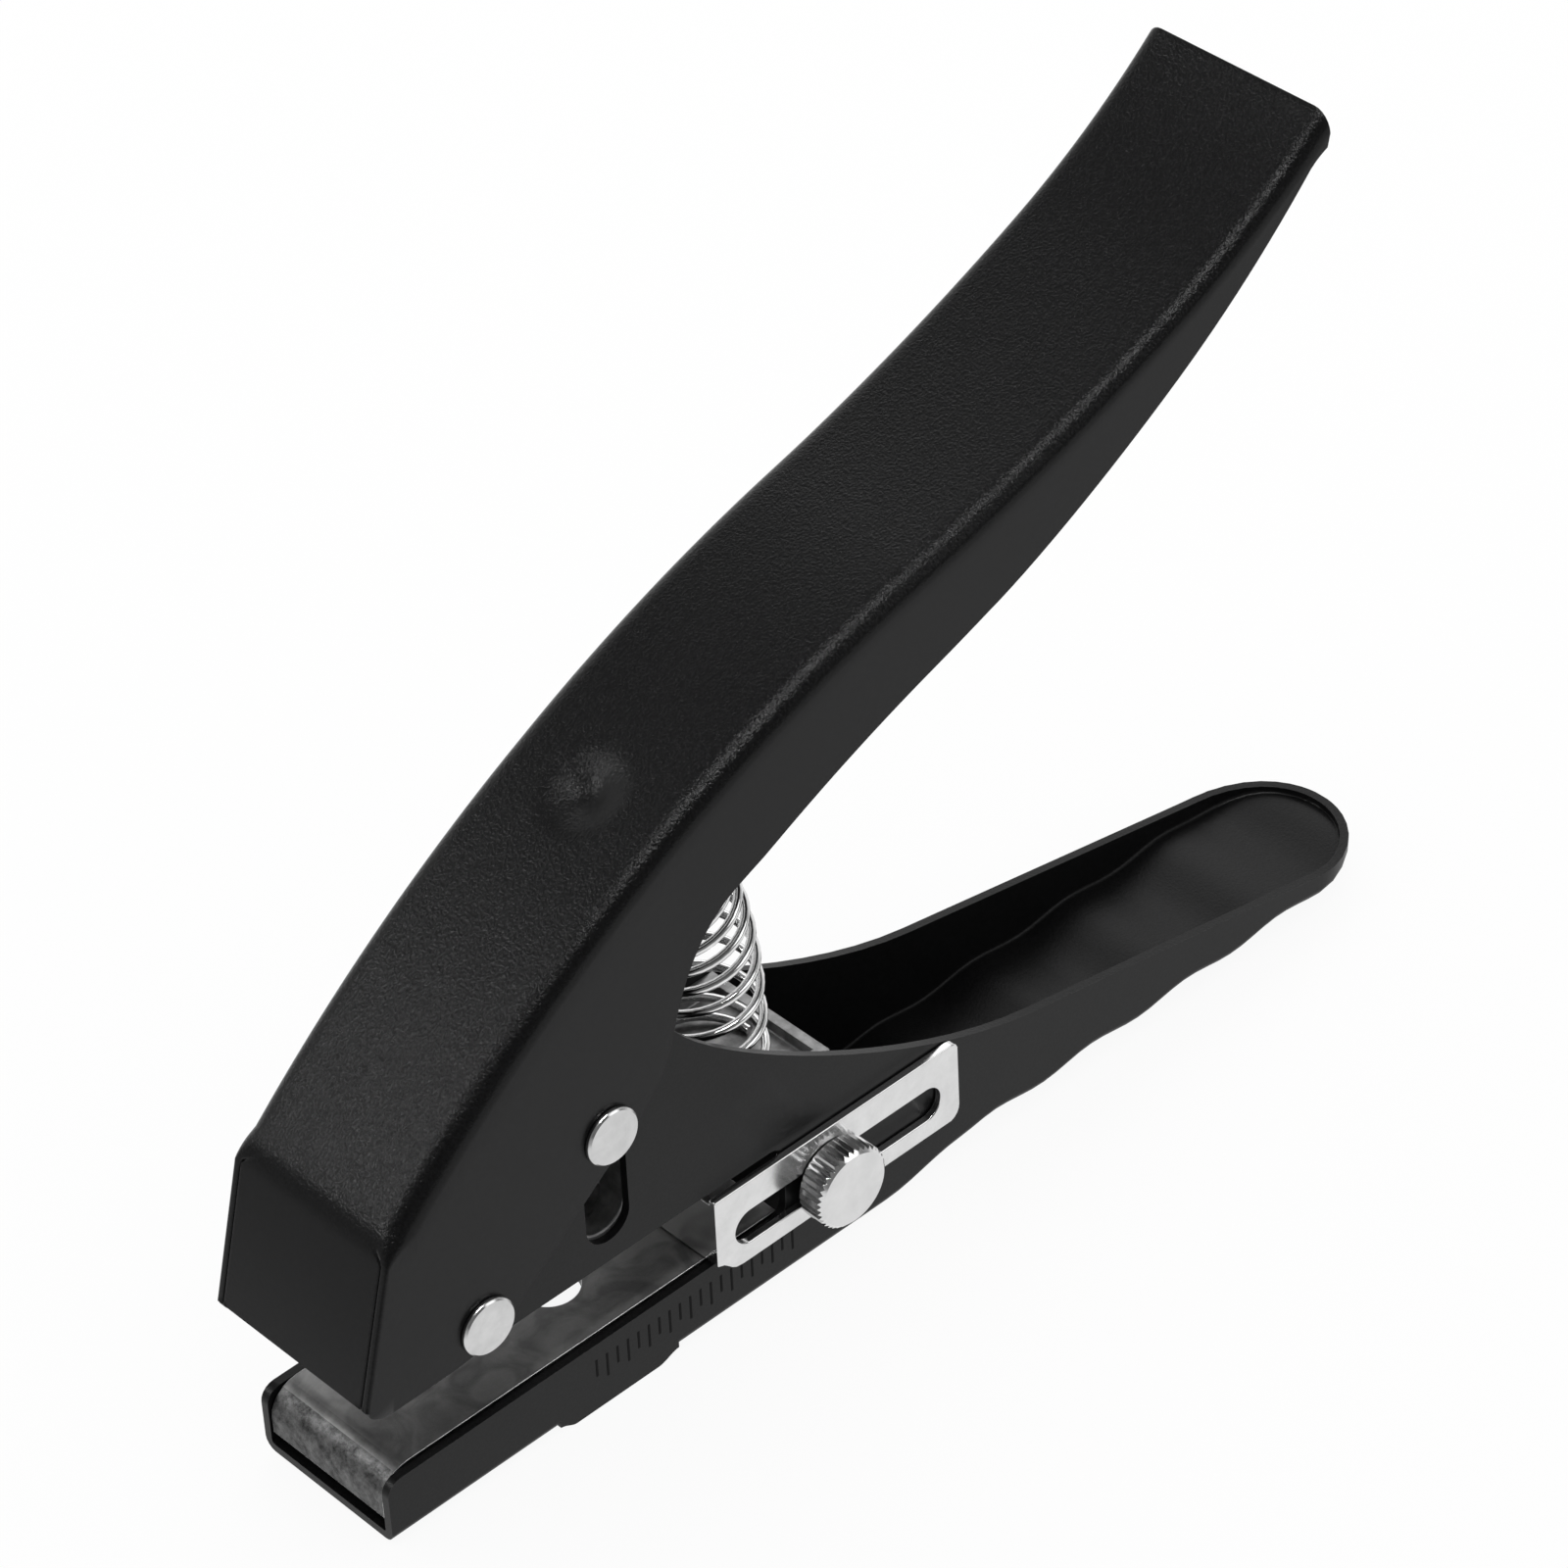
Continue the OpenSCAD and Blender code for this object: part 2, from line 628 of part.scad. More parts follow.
// Knurled thumb screw
module thumb_screw() {
  r = knob / 2;
  c = knob_chamfer;
  reach = plate + 2 * fit + sheet + nut_height;
  color([0.8, 0.8, 0.8])
    translate(home)
      translate([screw_place, knob_y, screw_z])
        rotate([90, 0, 0])
          union() {
            intersection() {
              linear_extrude(knob_height)
                polygon([for (i = [0:2 * knurls - 1]) let (q = r - (i % 2) * knurl_depth)
                  q * [cos(180 * i / knurls), sin(180 * i / knurls)]]);
              rotate_extrude()
                polygon([[0, 0], [r - c, 0], [r + 0.05, c], [r + 0.05, knob_height - c],
                         [r - c, knob_height], [0, knob_height]]);
            }
            translate([0, 0, -reach - knurl_depth])
              cylinder(d = screw, h = reach + 2 * knurl_depth);
          }
}

body_shell();
die_bar();
guide_block();
stop_nut();
punch();
pivot_rivet();
top_handle();
drive_pin();
return_spring();
depth_stop();
thumb_screw();
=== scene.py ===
from math import cos, hypot, pi, radians, sin

import bmesh
import bpy
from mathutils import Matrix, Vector


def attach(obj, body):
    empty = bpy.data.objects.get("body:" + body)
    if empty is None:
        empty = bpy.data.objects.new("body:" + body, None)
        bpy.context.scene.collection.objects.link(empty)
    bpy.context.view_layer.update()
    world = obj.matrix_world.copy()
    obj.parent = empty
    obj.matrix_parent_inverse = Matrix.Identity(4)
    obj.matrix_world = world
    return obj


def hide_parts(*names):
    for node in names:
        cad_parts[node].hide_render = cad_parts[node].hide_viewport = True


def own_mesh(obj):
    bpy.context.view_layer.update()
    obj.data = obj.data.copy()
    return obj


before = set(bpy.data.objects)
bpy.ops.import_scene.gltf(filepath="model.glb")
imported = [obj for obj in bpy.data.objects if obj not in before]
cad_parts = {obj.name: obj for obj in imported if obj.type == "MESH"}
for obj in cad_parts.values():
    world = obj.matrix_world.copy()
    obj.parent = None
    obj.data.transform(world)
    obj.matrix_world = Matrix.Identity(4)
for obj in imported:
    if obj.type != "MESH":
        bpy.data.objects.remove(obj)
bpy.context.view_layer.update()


# Body channel: one blank of mild steel sheet, bent up into a channel with two tall cheeks
# in front and a long tail for the fingers. It is coated in black powder, baked to a fine
# sandy grain, and everything else is riveted or screwed to it.
MM = 0.001


def coat_material(name, tint, grain, gloss):
    mat = bpy.data.materials.new(name)
    mat.use_nodes = True
    tree = mat.node_tree
    shader = tree.nodes["Principled BSDF"]
    shader.inputs["Specular IOR Level"].default_value = 0.15
    place = tree.nodes.new("ShaderNodeTexCoord")

    # Fine sandy grain of the baked powder
    sand = tree.nodes.new("ShaderNodeTexNoise")
    sand.inputs["Scale"].default_value = 2900
    sand.inputs["Detail"].default_value = 2
    sand.inputs["Roughness"].default_value = 0.6
    tree.links.new(place.outputs["Object"], sand.inputs["Vector"])
    bump = tree.nodes.new("ShaderNodeBump")
    bump.inputs["Distance"].default_value = 0.125 * MM
    tree.links.new(sand.outputs["Fac"], bump.inputs["Height"])
    tree.links.new(bump.outputs["Normal"], shader.inputs["Normal"])

    # Powder settles thicker on level faces than on upright ones
    facing = tree.nodes.new("ShaderNodeNewGeometry")
    facing_axes = tree.nodes.new("ShaderNodeSeparateXYZ")
    tree.links.new(facing.outputs["True Normal"], facing_axes.inputs["Vector"])
    settled = tree.nodes.new("ShaderNodeMapRange")
    settled.inputs["From Min"].default_value = 0.25
    settled.inputs["From Max"].default_value = 0.75
    settled.inputs["To Min"].default_value = 0.1 * grain
    settled.inputs["To Max"].default_value = grain
    tree.links.new(facing_axes.outputs["Z"], settled.inputs["Value"])
    tree.links.new(settled.outputs["Result"], bump.inputs["Strength"])

    # Cloudy difference in gloss where hands and the oven left it uneven
    cloud = tree.nodes.new("ShaderNodeTexNoise")
    cloud.inputs["Scale"].default_value = 60
    cloud.inputs["Detail"].default_value = 4
    tree.links.new(place.outputs["Object"], cloud.inputs["Vector"])
    rough = tree.nodes.new("ShaderNodeMapRange")
    rough.inputs["To Min"].default_value = gloss - 0.05
    rough.inputs["To Max"].default_value = gloss + 0.06
    tree.links.new(cloud.outputs["Fac"], rough.inputs["Value"])
    tree.links.new(rough.outputs["Result"], shader.inputs["Roughness"])

    shade = tree.nodes.new("ShaderNodeValToRGB")
    shade.color_ramp.elements[0].position = 0.35
    shade.color_ramp.elements[0].color = [0.7 * c for c in tint] + [1]
    shade.color_ramp.elements[1].position = 0.7
    shade.color_ramp.elements[1].color = [1.4 * c for c in tint] + [1]
    tree.links.new(sand.outputs["Fac"], shade.inputs["Fac"])
    tree.links.new(shade.outputs["Color"], shader.inputs["Base Color"])
    return mat


def soft_shading():
    group = bpy.data.node_groups.new("soft_shading", "GeometryNodeTree")
    group.interface.new_socket("Geometry", in_out="INPUT", socket_type="NodeSocketGeometry")
    group.interface.new_socket("Geometry", in_out="OUTPUT", socket_type="NodeSocketGeometry")
    source = group.nodes.new("NodeGroupInput")
    result = group.nodes.new("NodeGroupOutput")
    faces = group.nodes.new("GeometryNodeSetShadeSmooth")
    edges = group.nodes.new("GeometryNodeSetShadeSmooth")
    edges.domain = "EDGE"
    angle = group.nodes.new("GeometryNodeInputMeshEdgeAngle")
    gentle = group.nodes.new("FunctionNodeCompare")
    gentle.operation = "LESS_THAN"
    gentle.inputs["B"].default_value = radians(32)
    group.links.new(source.outputs[0], faces.inputs["Geometry"])
    group.links.new(faces.outputs["Geometry"], edges.inputs["Geometry"])
    group.links.new(angle.outputs["Unsigned Angle"], gentle.inputs["A"])
    group.links.new(gentle.outputs["Result"], edges.inputs["Shade Smooth"])
    group.links.new(edges.outputs["Geometry"], result.inputs[0])
    return group


gentle_shading = soft_shading()


def finish_node(name, edge, *finishes):
    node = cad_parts[name]
    node.data.materials.clear()
    for mat in finishes:
        node.data.materials.append(mat)
    weld = node.modifiers.new("join_triangles", "WELD")
    weld.merge_threshold = 0.002 * MM
    flat = node.modifiers.new("flat_faces", "DECIMATE")
    flat.decimate_type = "DISSOLVE"
    flat.angle_limit = radians(0.5)
    shading = node.modifiers.new("soft_shading", "NODES")
    shading.node_group = gentle_shading
    soft = node.modifiers.new("soft_edges", "BEVEL")
    soft.width = edge * MM
    soft.segments = 2
    soft.limit_method = "ANGLE"
    soft.angle_limit = radians(40)
    soft.material = len(finishes) - 1
    even = node.modifiers.new("even_light", "WEIGHTED_NORMAL")
    even.keep_sharp = True
    return node


black_coat = coat_material("black_coat", (0.0045, 0.0045, 0.0047), 0.3, 0.36)
# Sheet edges get a far lighter coat on their bevels. This is partly the thin coat on cut edges and
# partly a painted highlight along every edge.
edge_coat_and_highlight = coat_material("edge_coat_and_highlight", (0.06, 0.06, 0.06), 0.2, 0.4)
finish_node("body_shell", 0.2, black_coat, edge_coat_and_highlight)


# Scale marks: twenty upright strokes pressed into the near wall of the nose, a sixteenth of
# an inch apart and by turns short and long. Each is a thin bar half sunk in the wall and
# coloured darker than the coat: painted shade for the inside of the pressed stroke.
HOME = Vector((-79.55, 1.125, 0))
WALL_FACE = -10.85
WALL_FOOT = 0.9
MARK_COUNT = 20
MARK_START = 30.6
MARK_PITCH = 1.5875
MARK_WIDE = 0.3
MARK_THICK = 0.06
MARK_TOP = 6.5
MARK_LOWS = (4, 3.1)
marks_form = bmesh.new()
for step in range(MARK_COUNT):
    low = MARK_LOWS[step % 2]
    mark = bmesh.ops.create_cube(marks_form, size=MM)["verts"]
    bmesh.ops.scale(marks_form, vec=(MARK_WIDE, MARK_THICK, MARK_TOP - low), verts=mark)
    middle = WALL_FOOT + (MARK_TOP + low) / 2
    spot = HOME + Vector((MARK_START + MARK_PITCH * step, WALL_FACE, middle))
    bmesh.ops.translate(marks_form, vec=spot * MM, verts=mark)
marks_mesh = bpy.data.meshes.new("scale_marks")
marks_form.to_mesh(marks_mesh)
marks_form.free()
marks = bpy.data.objects.new("scale_marks", marks_mesh)
bpy.context.collection.objects.link(marks)
marks_mesh.materials.append(coat_material("mark_painted_shade", (0.0015, 0.0015, 0.0016), 0.3, 0.75))
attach(marks, "frame")


# Die bar: a piece of raw steel strip folded into a hollow bar, lying between the nose walls.
# Its skin is bare and mottled from rolling. Its long edges are rubbed bright by paper, and their
# bevels are also given a much lighter metal as a painted highlight.
def bare_metal(name, dark, light, gloss, grain, size, detail=6, break_up=0.65):
    mat = bpy.data.materials.new(name)
    mat.use_nodes = True
    tree = mat.node_tree
    shader = tree.nodes["Principled BSDF"]
    shader.inputs["Metallic"].default_value = 1
    place = tree.nodes.new("ShaderNodeTexCoord")
    mottle = tree.nodes.new("ShaderNodeTexNoise")
    mottle.inputs["Scale"].default_value = size
    mottle.inputs["Detail"].default_value = detail
    mottle.inputs["Roughness"].default_value = break_up
    tree.links.new(place.outputs["Object"], mottle.inputs["Vector"])
    shade = tree.nodes.new("ShaderNodeValToRGB")
    shade.color_ramp.elements[0].position = 0.36
    shade.color_ramp.elements[0].color = (dark, dark, dark, 1)
    shade.color_ramp.elements[1].position = 0.68
    shade.color_ramp.elements[1].color = (light, light, light, 1)
    tree.links.new(mottle.outputs["Fac"], shade.inputs["Fac"])
    tree.links.new(shade.outputs["Color"], shader.inputs["Base Color"])
    rough = tree.nodes.new("ShaderNodeMapRange")
    rough.inputs["To Min"].default_value = gloss + 0.08
    rough.inputs["To Max"].default_value = gloss - 0.06
    tree.links.new(mottle.outputs["Fac"], rough.inputs["Value"])
    tree.links.new(rough.outputs["Result"], shader.inputs["Roughness"])
    bump = tree.nodes.new("ShaderNodeBump")
    bump.inputs["Strength"].default_value = grain
    bump.inputs["Distance"].default_value = 0.1 * MM
    tree.links.new(mottle.outputs["Fac"], bump.inputs["Height"])
    tree.links.new(bump.outputs["Normal"], shader.inputs["Normal"])
    return mat


die_metal = bare_metal("die_metal", 0.012, 0.16, 0.42, 0.5, 560, detail=10, break_up=0.8)
die_tree = die_metal.node_tree
die_shader = die_tree.nodes["Principled BSDF"]
raw_skin = die_shader.inputs["Base Color"].links[0].from_socket

# The level top is ground smoother than the front, and stained in clouds
facing = die_tree.nodes.new("ShaderNodeNewGeometry")
facing_axes = die_tree.nodes.new("ShaderNodeSeparateXYZ")
die_tree.links.new(facing.outputs["True Normal"], facing_axes.inputs["Vector"])
ground = die_tree.nodes.new("ShaderNodeMapRange")
ground.inputs["From Min"].default_value = 0.8
ground.inputs["From Max"].default_value = 0.98
ground.inputs["To Max"].default_value = 0.85
die_tree.links.new(facing_axes.outputs["Z"], ground.inputs["Value"])
die_place = die_tree.nodes.new("ShaderNodeTexCoord")
stain = die_tree.nodes.new("ShaderNodeTexNoise")
stain.inputs["Scale"].default_value = 160
stain.inputs["Detail"].default_value = 5
stain.inputs["Distortion"].default_value = 1.2
die_tree.links.new(die_place.outputs["Object"], stain.inputs["Vector"])
stain_shade = die_tree.nodes.new("ShaderNodeValToRGB")
stain_shade.color_ramp.elements[0].position = 0.38
stain_shade.color_ramp.elements[0].color = (0.17, 0.17, 0.17, 1)
stain_shade.color_ramp.elements[1].position = 0.6
stain_shade.color_ramp.elements[1].color = (0.3, 0.3, 0.295, 1)
die_tree.links.new(stain.outputs["Fac"], stain_shade.inputs["Fac"])

# Colours enter a mix node at sockets 6 and 7 and leave it at socket 2
skin_mix = die_tree.nodes.new("ShaderNodeMix")
skin_mix.data_type = "RGBA"
die_tree.links.new(ground.outputs["Result"], skin_mix.inputs[0])
die_tree.links.new(raw_skin, skin_mix.inputs[6])
die_tree.links.new(stain_shade.outputs["Color"], skin_mix.inputs[7])
die_tree.links.new(skin_mix.outputs[2], die_shader.inputs["Base Color"])
# Bevel finish of the die: lighter metal, partly rubbed bright and partly a painted highlight.
rubbed_edge_and_highlight = bare_metal("rubbed_edge_and_highlight", 0.5, 0.85, 0.45, 0.1, 900)
finish_node("die_bar", 0.45, die_metal, rubbed_edge_and_highlight)


# Guide block: a zinc casting between the cheeks. It guides the punch and ends in a square
# tray behind, where the spring stands.
finish_node("guide_block", 0.2, bare_metal("casting", 0.2, 0.38, 0.5, 0.3, 420))


# Stop nut: a plated hexagon nut behind the near wall, cut from drawn bar. The thumb screw
# pulls it up against the sheet.
finish_node("stop_nut", 0.15, bare_metal("nut_steel", 0.4, 0.55, 0.35, 0.1, 500))


# Punch: a turned and hardened steel pin with a wide round head, slotted across so that the
# drive pin can push it down through the casting.
finish_node("punch", 0.15, bare_metal("punch_steel", 0.45, 0.62, 0.3, 0.1, 300))


# Rivets: two nickelled steel rivets with nearly flat round heads. The front one is the
# fulcrum of the lever, and the rear one drives the punch.
rivet_metal = bare_metal("nickel", 0.56, 0.64, 0.2, 0.02, 350)
finish_node("pivot_rivet", 0.08, rivet_metal)
finish_node("drive_pin", 0.08, rivet_metal)


# Lever: sheet steel bent down at both sides and closed in front by a folded flap, whose two
# seams stay open. A round dimple pressed into its top holds the spring, and the whole of it
# is powder coated like the body, with a coarser grain on the broad top.
FLAP_FOOT = Vector((-2.9, 24.1))
FLAP_WAY = Vector((0.2504, 0.9681))
RIDGE_START = Vector((2.9, 44.8))
RIDGE_RUN = 162.2
SLOPES = ((0, 45), (34, 34), (94, 15), (134, 24), (RIDGE_RUN, 41))
RIDGE_STEP = 0.25
FLAP_BEND = 0.35
TOP_BEND = 2.7
TIP_BEND = 2.2
BENDS = ((100, TOP_BEND), (135, TIP_BEND))
SHEET = 1.1
HEEL_X = 54.35
HEEL_DEPTH = 16.6
WAIST_X = 92
WAIST_DEPTH = 13.5
PALM_TAPER = 9.9
LEVER_HALF = 12.7
LEVER_FLARE = 1.1
FLARE_START = 45
SEAM_COLUMN = 3
SEAM_DEPTH = 0.4
DIMPLE_RUN = 51.4
DIMPLE_REACH = 5.8
DIMPLE_DEPTH = 1.25
PIT_DEPTH = 0.4
TIP_ROUND = 4


def along(pairs, at):
    for (a, p), (b, q) in zip(pairs, pairs[1:]):
        if at <= b:
            return p + (q - p) * max(at - a, 0) / (b - a)
    return pairs[-1][1]


def bow(p, q, r, s, count):
    turn = []
    for i in range(count + 1):
        t = i / count
        u = 1 - t
        turn.append(u * u * u * p + 3 * u * u * t * q + 3 * u * t * t * r + t * t * t * s)
    return turn


def outward(slope):
    return Vector((-sin(radians(slope)), cos(radians(slope))))


# Ridge of the lever as runs and points, every quarter millimetre
ridge = [(0, RIDGE_START.copy())]
while ridge[-1][0] < RIDGE_RUN:
    run, spot = ridge[-1]
    lean = radians(along(SLOPES, run + RIDGE_STEP / 2))
    ridge.append((run + RIDGE_STEP, spot + RIDGE_STEP * Vector((cos(lean), sin(lean)))))
ridge_x = [(run, spot.x) for run, spot in ridge]
ridge_z = [(spot.x, spot.y) for run, spot in ridge]
tip = ridge[-1][1]


def side_depth(x):
    if x < WAIST_X:
        return along(((58, HEEL_DEPTH), (WAIST_X, WAIST_DEPTH)), x)
    return WAIST_DEPTH - PALM_TAPER * min((x - WAIST_X) / (tip.x - 94.6), 1) ** 1.3


# Lower edge of the side, from the foot of the flap past both rivets to the heel
heel = Vector((HEEL_X, along(ridge_z, HEEL_X) - HEEL_DEPTH))
rear = Vector((43.18, 48.31))
under = Vector((31.5, 35.32))
notch = Vector((19.2, 25.59))
toe = Vector((9.6, 22.09))
lip = Vector((0.7, 22))
hem = bow(FLAP_FOOT, Vector((-2.54, 22.9)), Vector((-1.1, 22)), lip, 12)
hem += bow(toe, Vector((15.2, 22.49)), Vector((18.6, 23.98)), notch, 14)
hem += bow(under, Vector((37.5, 39.9)), Vector((42, 43.3)), rear, 16)
hem += bow(rear, Vector((45.4, 56.3)), Vector((48.5, heel.y - 2.4)), heel, 20)[1:]
hem = [(spot.x, spot.y) for spot in hem]


def hem_z(x):
    if x < heel.x:
        return along(hem, x)
    return along(ridge_z, x) - side_depth(x)


# Stations: point on the outer skin, its outward way, foot of the side, bend, share of flap, run
stations = []
flap_out = Vector((-FLAP_WAY.y, FLAP_WAY.x))
flap_end = 18.6
for i in range(25):
    s = flap_end * i / 24
    foot_x = -2.55 + 3.25 * i / 24
    stations.append((FLAP_FOOT + s * FLAP_WAY, flap_out, foot_x, FLAP_BEND, 1, -30))
corner_from = FLAP_FOOT + flap_end * FLAP_WAY
corner_top = FLAP_FOOT + 20.761 * FLAP_WAY
corner_to = RIDGE_START + 1.4 * Vector((cos(radians(45)), sin(radians(45))))
for i in range(1, 7):
    t = i / 7
    spot = (1 - t) ** 2 * corner_from + 2 * t * (1 - t) * corner_top + t * t * corner_to
    bend = FLAP_BEND + 2.35 * t
    stations.append((spot, outward(75.5 - 30.5 * t), lip.x + 3 * t, bend, (1 - t) ** 2, -20))
run = 1.6
while run < RIDGE_RUN - 0.2:
    place = Vector((along(ridge_x, run), 0))
    place.y = along(ridge_z, place.x)
    out = outward(along(SLOPES, run))
    stations.append((place, out, max(place.x, 3.75), along(BENDS, run), 0, run))
    run += 1 if run < 64 or run > 154 else 2
stations.append((tip, outward(SLOPES[-1][1]), tip.x, TIP_BEND, 0, RIDGE_RUN))

SIDE, BEND, HALF_TOP = 9, 6, 16
HALF = SIDE + BEND + HALF_TOP
FLAP_COLUMNS = (FLAP_BEND, 0.75, 0.92, 1.08, 1.24, 1.45, 2.2, 3.2, 4.2, 5.2, 6.2,
                7.3, 8.4, 9.5, 10.6, 11.7, LEVER_HALF)
lever_form = bmesh.new()
bmesh.ops.create_grid(lever_form, x_segments=len(stations) - 1, y_segments=2 * HALF, size=1)
for vert in lever_form.verts:
    row = round((vert.co.x + 1) / 2 * (len(stations) - 1))
    column = round((vert.co.y + 1) * HALF)
    skin, out, foot_x, bend, flap, run = stations[row]
    k = min(column, 2 * HALF - column)
    hand = -1 if column < HALF else 1
    wide = LEVER_HALF + LEVER_FLARE * min(max((skin.x - FLARE_START) / (tip.x - FLARE_START), 0), 1)
    foot = Vector((foot_x, hem_z(foot_x)))
    rounding = (max(run - RIDGE_RUN + TIP_ROUND, 0) / TIP_ROUND) ** 2
    draw_back = rounding * Vector((out.y, -out.x))
    foot = foot.lerp(skin - 3.2 * out, rounding)
    centre = skin - bend * out
    if k <= SIDE:
        level = foot + (centre - foot) * k / SIDE - (3 - 1.4 * k / SIDE) * draw_back
        y = wide
    elif k <= SIDE + BEND:
        turn = pi / 2 * (k - SIDE) / BEND
        level = centre + bend * sin(turn) * out - 1.6 * (1 - sin(turn)) * draw_back
        y = wide - bend + bend * cos(turn)
    else:
        m = k - SIDE - BEND
        inset = flap * FLAP_COLUMNS[m] + (1 - flap) * (bend + (wide - bend) * m / HALF_TOP)
        y = wide - min(inset, wide)
        level = skin.copy()
        if m == SEAM_COLUMN:
            level -= SEAM_DEPTH * flap ** 2 * out
        reach = hypot(run - DIMPLE_RUN, y) / DIMPLE_REACH
        if reach < 1:
            level -= DIMPLE_DEPTH * (1 - reach ** 2) ** 2 * out
        if reach < 0.5:
            level -= PIT_DEPTH * (1 - 4 * reach ** 2) ** 2 * out
    vert.co = (HOME + Vector((level.x, hand * y, level.y))) * MM
lever_form.normal_update()
if sum(face.normal.z * face.calc_area() for face in lever_form.faces) < 0:
    bmesh.ops.reverse_faces(lever_form, faces=lever_form.faces[:])
for face in lever_form.faces:
    face.smooth = True
lever_mesh = bpy.data.meshes.new("lever_sheet")
lever_form.to_mesh(lever_mesh)
lever_form.free()
lever = bpy.data.objects.new("lever_sheet", lever_mesh)
bpy.context.collection.objects.link(lever)
sheet = lever.modifiers.new("sheet", "SOLIDIFY")
sheet.thickness = SHEET * MM
sheet.offset = -1
sheet.use_even_offset = True
lever_edges = lever.modifiers.new("soft_edges", "BEVEL")
lever_edges.width = 0.18 * MM
lever_edges.segments = 2
lever_edges.limit_method = "ANGLE"
lever_edges.angle_limit = radians(50)
# The bevels take the lighter edge finish, which is partly a painted highlight.
lever_edges.material = 1
lever_light = lever.modifiers.new("even_light", "WEIGHTED_NORMAL")
lever_light.keep_sharp = True
lever_mesh.materials.append(coat_material("lever_coat", (0.0045, 0.0045, 0.0047), 1, 0.24))
lever_mesh.materials.append(edge_coat_and_highlight)
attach(lever, "lever")
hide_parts("top_handle")


# Return spring: one length of bright spring wire, coiled on an arbor with closed ends. It
# stands in the tray of the casting and leans back into the dimple under the lever.
WIRE, COIL, CURLS = 1.1, 7.25, 14
CURL_STEPS = 40
SEAT_RUN = 52
SEAT_DEPTH = 1.9
spring_low = Vector((58.2, 27.77))
nub_x = along(ridge_x, SEAT_RUN)
nub_out = outward(along(SLOPES, SEAT_RUN))
spring_high = Vector((nub_x, along(ridge_z, nub_x))) - SEAT_DEPTH * nub_out
span = (spring_high - spring_low).length
end_pitch = WIRE + 0.62
mid_pitch = (span * 1.01 - 2 * end_pitch) / (CURLS - 2)
risen = ((0, 0), (1, end_pitch), (CURLS - 1, end_pitch + (CURLS - 2) * mid_pitch),
         (CURLS, 2 * end_pitch + (CURLS - 2) * mid_pitch))
axis_up = spring_low + span * 0.5 * Vector((0, 1))
axis_in = spring_high - span * 0.42 * nub_out
wire_path = bpy.data.curves.new("return_wire", "CURVE")
wire_path.dimensions = "3D"
wire_path.bevel_depth = WIRE / 2 * MM
wire_path.bevel_resolution = 3
wire_path.use_fill_caps = True
turns = wire_path.splines.new("POLY")
turns.points.add(CURLS * CURL_STEPS)
for i, point in enumerate(turns.points):
    u = along(risen, i / CURL_STEPS) / risen[-1][1]
    v = 1 - u
    middle = v ** 3 * spring_low + 3 * v * v * u * axis_up
    middle += 3 * v * u * u * axis_in + u ** 3 * spring_high
    way = v * v * (axis_up - spring_low) + 2 * v * u * (axis_in - axis_up)
    way += u * u * (spring_high - axis_in)
    way.normalize()
    angle = 2 * pi * i / CURL_STEPS
    swing = COIL * cos(angle)
    spot = HOME + Vector((middle.x + swing * way.y, COIL * sin(angle), middle.y - swing * way.x))
    point.co = (*(spot * MM), 1)
wire_form = bpy.data.objects.new("return_wire", wire_path)
bpy.context.collection.objects.link(wire_form)
wire_solid = wire_form.evaluated_get(bpy.context.evaluated_depsgraph_get())
spring_mesh = bpy.data.meshes.new_from_object(wire_solid)
bpy.data.objects.remove(wire_form)
spring_mesh.name = "return_coil"
for face in spring_mesh.polygons:
    face.use_smooth = True
spring = bpy.data.objects.new("return_coil", spring_mesh)
bpy.context.collection.objects.link(spring)
spring_mesh.materials.clear()
spring_mesh.materials.append(bare_metal("spring_wire", 0.66, 0.78, 0.13, 0.02, 300))
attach(spring, "frame")
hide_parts("return_spring")
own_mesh(spring)


# Depth stop: a slotted plate of nickelled sheet, blanked out and bent in across the throat
# at its front. It slides along the wall when the screw is slack.
finish_node("depth_stop", 0.12, bare_metal("plate_nickel", 0.66, 0.74, 0.19, 0.03, 300))


# Thumb screw: a knurled nickelled head turned in one with its M4 shank. It goes through the
# slot of the depth stop and clamps it to the wall.
finish_node("thumb_screw", 0.06, bare_metal("screw_nickel", 0.65, 0.71, 0.17, 0.04, 300))


# Stage: a sheet of white studio paper laid flat, which the punch stands on. The room gives
# soft light, dimmer overhead and to the left in what metal mirrors, and four lamps in boxes
# add the highlights. The camera stands where the photograph was taken.
floor_form = bmesh.new()
bmesh.ops.create_grid(floor_form, x_segments=1, y_segments=1, size=4)
floor_mesh = bpy.data.meshes.new("floor")
floor_form.to_mesh(floor_mesh)
floor_form.free()
floor = bpy.data.objects.new("floor", floor_mesh)
floor.location.z = -0.02 * MM
bpy.context.collection.objects.link(floor)

paper = bpy.data.materials.new("studio_paper")
paper.use_nodes = True
paper_tree = paper.node_tree
paper_shader = paper_tree.nodes["Principled BSDF"]
paper_shader.inputs["Base Color"].default_value = (0.9, 0.9, 0.9, 1)
paper_shader.inputs["Roughness"].default_value = 0.9
paper_shader.inputs["Specular IOR Level"].default_value = 0.1
glow = paper_tree.nodes.new("ShaderNodeEmission")
glow.inputs["Color"].default_value = (1, 1, 1, 1)
seen = paper_tree.nodes.new("ShaderNodeLightPath")
either = paper_tree.nodes.new("ShaderNodeMath")
either.operation = "MAXIMUM"
share = paper_tree.nodes.new("ShaderNodeMath")
share.operation = "MULTIPLY"
share.inputs[1].default_value = 0.92
